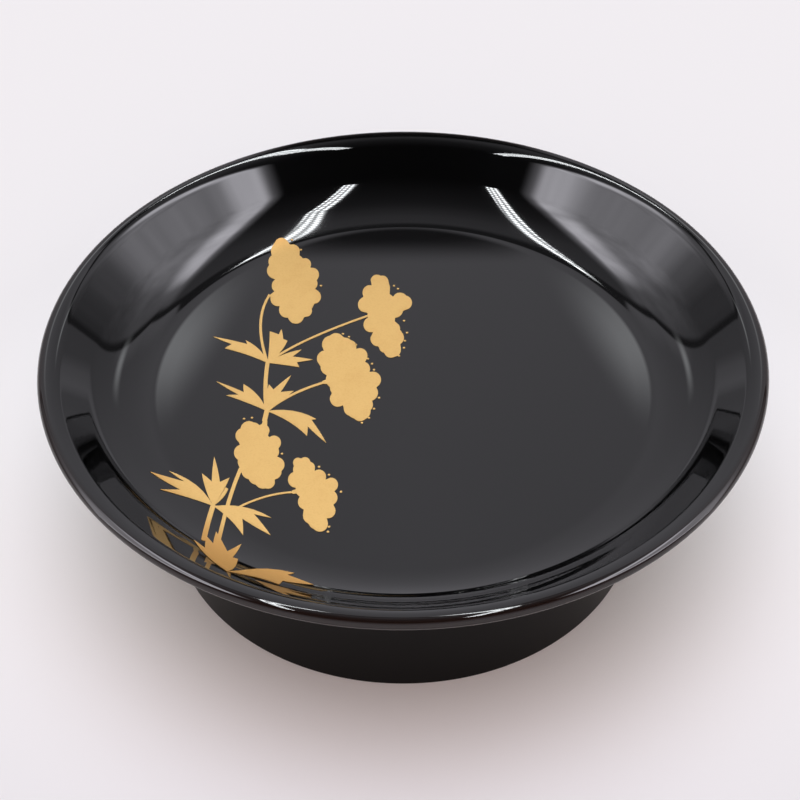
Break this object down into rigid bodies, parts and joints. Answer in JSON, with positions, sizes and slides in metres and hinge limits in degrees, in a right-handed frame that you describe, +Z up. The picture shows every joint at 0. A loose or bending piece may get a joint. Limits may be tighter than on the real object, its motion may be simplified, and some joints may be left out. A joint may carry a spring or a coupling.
{
  "type": "lacquered footed dish",
  "caption": "Shallow round black lacquered dish with a sloping wall and rolled lip on a tall ring foot, with a gold flowering spray inside, for serving sweets or fruit.",
  "frame": {"origin": "middle of the standing edge, on the surface that the dish stands on", "axes": "+Z up along the turning axis, -Y towards the front from which the gold spray stands upright"},
  "size_m": [0.21, 0.21, 0.066],
  "materials": {
    "turned_wood": "bare turned wood",
    "black_lacquer": "polished black lacquer",
    "gold_leafwork": "sprinkled gold, burnished"
  },
  "bodies": {
    "root": {"dish_core": "turned_wood", "foot_ring_core": "turned_wood", "inside_lacquer": "black_lacquer", "underside_lacquer": "black_lacquer", "base_lacquer": "black_lacquer", "foot_outside_lacquer": "black_lacquer", "foot_inside_lacquer": "black_lacquer", "standing_edge_lacquer": "black_lacquer", "flower_head_1": "gold_leafwork", "flower_head_2": "gold_leafwork", "flower_head_3": "gold_leafwork", "flower_head_4": "gold_leafwork", "flower_head_5": "gold_leafwork", "leaf_1": "gold_leafwork", "leaf_2": "gold_leafwork", "leaf_3": "gold_leafwork", "leaf_4": "gold_leafwork", "leaf_5": "gold_leafwork", "leaf_6": "gold_leafwork", "leaf_7": "gold_leafwork", "leaf_8": "gold_leafwork", "leaf_9": "gold_leafwork", "leaf_10": "gold_leafwork", "leaf_11": "gold_leafwork", "leaf_12": "gold_leafwork", "stem_1": "gold_leafwork", "stem_2": "gold_leafwork", "stem_3": "gold_leafwork", "stem_4": "gold_leafwork", "stem_5": "gold_leafwork", "stem_6": "gold_leafwork", "stem_7": "gold_leafwork", "stem_8": "gold_leafwork", "gold_dots": "gold_leafwork"}
  },
  "joints": []
}
